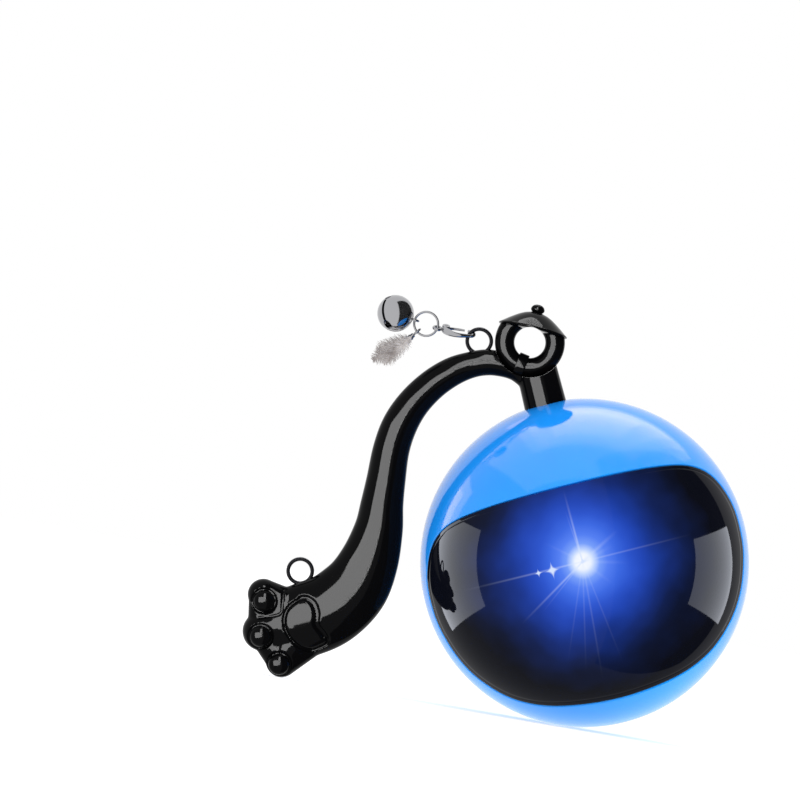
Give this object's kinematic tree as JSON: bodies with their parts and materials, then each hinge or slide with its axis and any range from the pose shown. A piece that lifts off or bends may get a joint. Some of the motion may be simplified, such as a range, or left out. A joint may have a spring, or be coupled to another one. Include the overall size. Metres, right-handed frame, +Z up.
{
  "type": "self rolling cat ball toy",
  "caption": "Blue two-part ball toy with a smoked lens, a swinging weight drive inside and a swivelling cat tail that carries a ring, a pointed hat and a bell charm.",
  "frame": {"origin": "on the floor, in the middle of the toy's outline, where it rests on the ball and the paw", "axes": "+Z up, -Y towards the side the lens looks to, the tail and paw lie towards -X"},
  "size_m": [0.112, 0.0754, 0.0939],
  "materials": {
    "blue_plastic": "high gloss",
    "smoked_plastic": "high gloss, smoked",
    "black_rubber": "glossy moulded rubber",
    "black_plastic": "high gloss",
    "white_plastic": "satin",
    "steel": "bright nickel plating",
    "dark_steel": "black nickel",
    "brass": "turned",
    "board_green": "solder mask",
    "battery_wrap": "shrink wrap",
    "clear_led": "clear",
    "grey_down": "downy"
  },
  "bodies": {
    "ball": {"shell_front": "blue_plastic", "shell_rear": "blue_plastic", "visor": "smoked_plastic", "led": "clear_led", "led_board": "board_green", "led_reflector": "white_plastic", "shell_screw_1": "steel", "shell_screw_2": "steel", "shell_screw_3": "steel", "shell_screw_4": "steel", "drive_frame": "white_plastic", "frame_screw_1": "steel", "frame_screw_2": "steel", "gear_cover": "white_plastic", "idler_pin": "steel", "motor": "steel", "axle_bush_left": "brass", "axle_bush_right": "brass", "battery": "battery_wrap", "battery_strap": "white_plastic", "main_board": "board_green", "usb_socket": "steel", "tact_switch": "black_plastic"},
    "tail": {"tail": "black_rubber", "neck_plug": "white_plastic", "eyelet_top": "dark_steel", "eyelet_paw": "dark_steel"},
    "ring": {"eye_ring": "black_plastic", "hat": "black_plastic"},
    "clasp": {"clasp_body": "steel", "gate_pin": "steel"},
    "gate": {"clasp_gate": "steel"},
    "link": {"link_ring": "steel"},
    "bell": {"bell": "steel"},
    "pellet": {"bell_pellet": "steel"},
    "feathers": {"feather_cap": "steel", "feather_1": "grey_down", "feather_2": "grey_down", "feather_3": "grey_down"},
    "weight": {"swing_weight": "dark_steel", "weight_axle": "steel", "final_gear": "white_plastic"},
    "idler": {"idler_gear": "white_plastic"},
    "pinion": {"motor_pinion": "brass"},
    "button": {"power_button": "black_plastic"}
  },
  "joints": [
    {"name": "neck_swivel", "type": "hinge", "parent": "ball", "child": "tail", "pos_m": [0.00332, 0, 0.07183], "axis": [-0.4023, 0, 0.9155], "continuous": true},
    {"name": "ring_turn", "type": "hinge", "parent": "tail", "child": "ring", "pos_m": [-0.00243, 0, 0.08492], "axis": [0, -1, 0], "range_deg": [-35, 8]},
    {"name": "clasp_swing", "type": "hinge", "parent": "tail", "child": "clasp", "pos_m": [-0.01386, 0, 0.08326], "axis": [0, -1, 0], "range_deg": [-45, 2]},
    {"name": "gate_open", "type": "hinge", "parent": "clasp", "child": "gate", "pos_m": [-0.02186, 0.00054, 0.08479], "axis": [0.0044, -0.4226, 0.9063], "range_deg": [-10, 0], "stiffness_Nm_per_rad": 0.0004},
    {"name": "link_swing", "type": "hinge", "parent": "clasp", "child": "link", "pos_m": [-0.02379, 0, 0.08454], "axis": [0, -1, 0], "range_deg": [-15, 2]},
    {"name": "bell_swing", "type": "hinge", "parent": "link", "child": "bell", "pos_m": [-0.02647, 0, 0.08508], "axis": [0, -1, 0], "range_deg": [-12, 12]},
    {"name": "pellet_hop", "type": "slide", "parent": "bell", "child": "pellet", "axis": [0, 0, 1], "range_m": [0, 0.0035]},
    {"name": "feather_swing", "type": "hinge", "parent": "link", "child": "feathers", "pos_m": [-0.02647, 0, 0.08508], "axis": [0, -1, 0], "range_deg": [-12, 2]},
    {"name": "weight_spin", "type": "hinge", "parent": "ball", "child": "weight", "pos_m": [0.0184, 0, 0.0375], "axis": [0.9155, 0, 0.4023], "continuous": true},
    {"name": "idler_spin", "type": "hinge", "parent": "ball", "child": "idler", "pos_m": [0.02331, 0.00648, 0.02634], "axis": [0.9155, 0, 0.4023], "continuous": true},
    {"name": "pinion_spin", "type": "hinge", "parent": "ball", "child": "pinion", "pos_m": [0.02271, -0.00543, 0.0277], "axis": [0.9155, 0, 0.4023], "continuous": true},
    {"name": "power_press", "type": "slide", "parent": "ball", "child": "button", "axis": [0, -1, 0], "range_m": [0, 0.0006], "stiffness_N_per_m": 800}
  ],
  "couplings": [
    {"joint": "idler_spin", "follows": "weight_spin", "ratio": -3.6},
    {"joint": "pinion_spin", "follows": "weight_spin", "ratio": 10.8}
  ]
}
